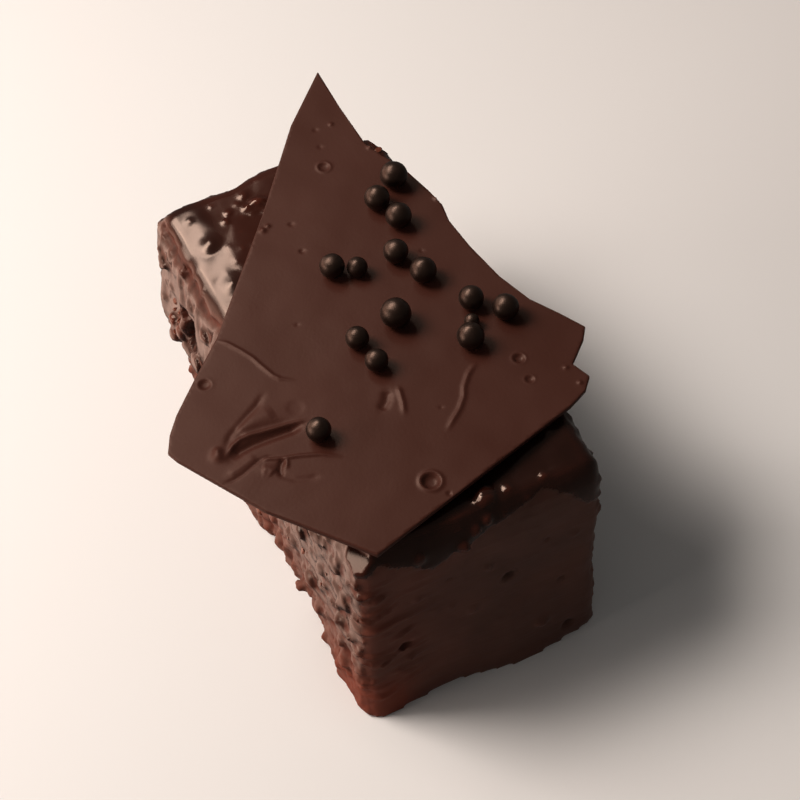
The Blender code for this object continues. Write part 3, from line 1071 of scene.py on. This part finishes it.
# Painted shade: hollows go back to the dark body colour, red brown where thin glaze and painted
# light are set too
deep = blend(mask("thin_glaze_and_painted_light"), effect.outputs["Colour"], SHADED_RED_BROWN)
colour = blend(mask("painted_hollow_shade"), colour, deep)
links.new(colour, shader.inputs["Base Color"])
glossy = ranged(glaze, effect.outputs["Patch"], *GLOSSY_ROUGHNESS)
rough = blend(mask("painted_hollow_shade"), glossy, HOLLOW_ROUGHNESS, "FLOAT")
dry = nodes.new("ShaderNodeMix")
dry.inputs["A"].default_value = WIPED_ROUGHNESS
dry.inputs["B"].default_value = DRY_ROUGHNESS
links.new(mask("thin_glaze_and_painted_light"), dry.inputs["Factor"])
rough = blend(mask("wiped_end"), rough, dry.outputs["Result"], "FLOAT")
links.new(rough, shader.inputs["Roughness"])

# %% Strokes on the wiped end
place = nodes.new("ShaderNodeTexCoord")
stretch = nodes.new("ShaderNodeMapping")
stretch.inputs["Scale"].default_value = (0.18, 0.5, 1.0)
stretch.inputs["Rotation"].default_value = (0.0, math.radians(-14.0), 0.0)
strokes = nodes.new("ShaderNodeTexNoise")
strokes.inputs["Scale"].default_value = 420.0
strokes.inputs["Detail"].default_value = 5.0
strokes.inputs["Distortion"].default_value = 0.6
links.new(place.outputs["Object"], stretch.inputs["Vector"])
links.new(stretch.outputs["Vector"], strokes.inputs["Vector"])
only_end = nodes.new("ShaderNodeMath")
only_end.operation = "MULTIPLY"
links.new(strokes.outputs["Fac"], only_end.inputs[0])
links.new(mask("wiped_end"), only_end.inputs[1])
bumped(glaze, shader, only_end.outputs["Value"], 0.22, 0.7)
bar.data.materials.append(glaze)

# %% [markdown]
# ## Crumbs, sheet and pearls
#
# The crumbs are toasted nut under a film of chocolate. The sheet is tempered
# chocolate: a satin skin with a very fine grain. The pearls are the darkest,
# with a soft sheen from the panning.

# %% Crumb, sheet and pearl materials
crumbs.data.materials.append(even_finish(
    "coated_nut", srgb(70, 34, 24), srgb(112, 58, 40), (300.0, 2500.0),
    0.4, WARM_SHEEN, roughness=(0.22, 0.4), bump=(0.06, 1.0)))
sheet.data.materials.append(even_finish(
    "tempered_chocolate", srgb(55, 30, 24), srgb(62, 34, 28), (55.0, 1600.0),
    0.16, WARM_SHEEN, roughness=(0.38, 0.50), bump=(0.035, 0.5)))
panned = even_finish(
    "panned_chocolate", srgb(15, 10, 8), srgb(22, 14, 11), (400.0, 2600.0),
    0.46, WARMER_SHEEN, roughness=(0.34, 0.42), bump=(0.04, 0.6))
for pearl in pearls:
    pearl.data.materials.append(panned)
print("finishes", [material.name for material in (glaze, *crumbs.data.materials,
                                                  *sheet.data.materials, panned)])

# %% [markdown]
# ## Floor, light and camera
#
# A pale floor and soft light from the far left. The window gives the long gloss
# on the top and, with the key, the shadows towards the near right. A side
# window only adds gloss, a low one lights the left wall, and the room glows on
# that side, which shows as a warm sheen in the low glaze.

# %% Floor
FLOOR_COLOUR = (0.78, 0.84, 0.88, 1.0)
bpy.ops.object.select_all(action="DESELECT")
bpy.ops.mesh.primitive_plane_add(size=6.0, location=(0, 0, -0.02 * MM))
floor = bpy.context.active_object
floor.name = "floor"
pale = bpy.data.materials.new("pale_floor")
pale.use_nodes = True
shader = pale.node_tree.nodes["Principled BSDF"]
shader.inputs["Base Color"].default_value = FLOOR_COLOUR
shader.inputs["Roughness"].default_value = 0.9
floor.data.materials.append(pale)
floor.visible_glossy = False


# %% Lights
WARM_LIGHT = (1.0, 0.83, 0.72)
AIM = Vector((0, 0, 0.045))    # near the top of the cake (m)


def soft_light(name, azimuth, elevation, distance, width, height, radiance):
    """A rectangle of light that looks at the cake: angles in degrees, sizes in metres."""
    data = bpy.data.lights.new(name, "AREA")
    data.shape = "RECTANGLE"
    data.size, data.size_y = width, height
    data.energy = radiance * math.pi * width * height
    data.color = WARM_LIGHT
    light = bpy.data.objects.new(name, data)
    turn, up = math.radians(azimuth), math.radians(elevation)
    towards = Vector((math.cos(turn) * math.cos(up), math.sin(turn) * math.cos(up), math.sin(up)))
    light.location = towards * distance + AIM
    light.rotation_euler = towards.to_track_quat("Z", "Y").to_euler()
    bpy.context.scene.collection.objects.link(light)
    return light


soft_light("window", 139.0, 50.0, 0.50, 0.24, 0.26, 9.0)
soft_light("key", 146.0, 50.0, 0.55, 0.20, 0.20, 14.0).visible_glossy = False
soft_light("window_side", 104.0, 50.5, 0.55, 0.26, 0.19, 16.0).visible_diffuse = False
soft_light("low_window", 172.0, 12.0, 0.60, 0.30, 0.18, 6.5)
print("lights", [light.name for light in bpy.data.lights if light.users])

# %% The room's glow
TO_GLOW = (-0.75, 0.60, -0.28)
ROOM_COLOUR, GLOW_COLOUR = (0.10, 0.088, 0.08, 1.0), (2.60, 1.62, 1.26, 1.0)
world = bpy.data.worlds.new("studio")
world.use_nodes = True
nodes, links = world.node_tree.nodes, world.node_tree.links
looking = nodes.new("ShaderNodeTexCoord")
towards_left = nodes.new("ShaderNodeVectorMath")
towards_left.operation = "DOT_PRODUCT"
towards_left.inputs[1].default_value = TO_GLOW
glow = nodes.new("ShaderNodeMapRange")
glow.inputs["From Min"].default_value = 0.60
glow.inputs["From Max"].default_value = 0.90
tone = nodes.new("ShaderNodeMix")
tone.data_type = "RGBA"
tone.inputs["A"].default_value = ROOM_COLOUR
tone.inputs["B"].default_value = GLOW_COLOUR
links.new(looking.outputs["Generated"], towards_left.inputs[0])
links.new(towards_left.outputs["Value"], glow.inputs["Value"])
links.new(glow.outputs["Result"], tone.inputs["Factor"])
links.new(tone.outputs["Result"], nodes["Background"].inputs["Color"])
bpy.context.scene.world = world
bpy.context.scene.view_settings.view_transform = "Standard"

# %% Camera
EYE = Vector((-105.67, -218.23, 360.75)) * MM
HEADING, LOOKING_DOWN, ROLL = -27.1, 53.91, 0.39    # degrees
camera_data = bpy.data.cameras.new("camera")
camera_data.lens = 96.3
camera_data.sensor_width = 36.0
camera = bpy.data.objects.new("camera", camera_data)
turned = (Matrix.Rotation(math.radians(HEADING), 4, "Z")
          @ Matrix.Rotation(math.radians(90.0 - LOOKING_DOWN), 4, "X")
          @ Matrix.Rotation(math.radians(ROLL), 4, "Z"))
camera.matrix_world = Matrix.Translation(EYE) @ turned
bpy.context.scene.collection.objects.link(camera)
bpy.context.scene.camera = camera
print("camera to the top of the cake (m)", round((EYE - AIM).length, 3))
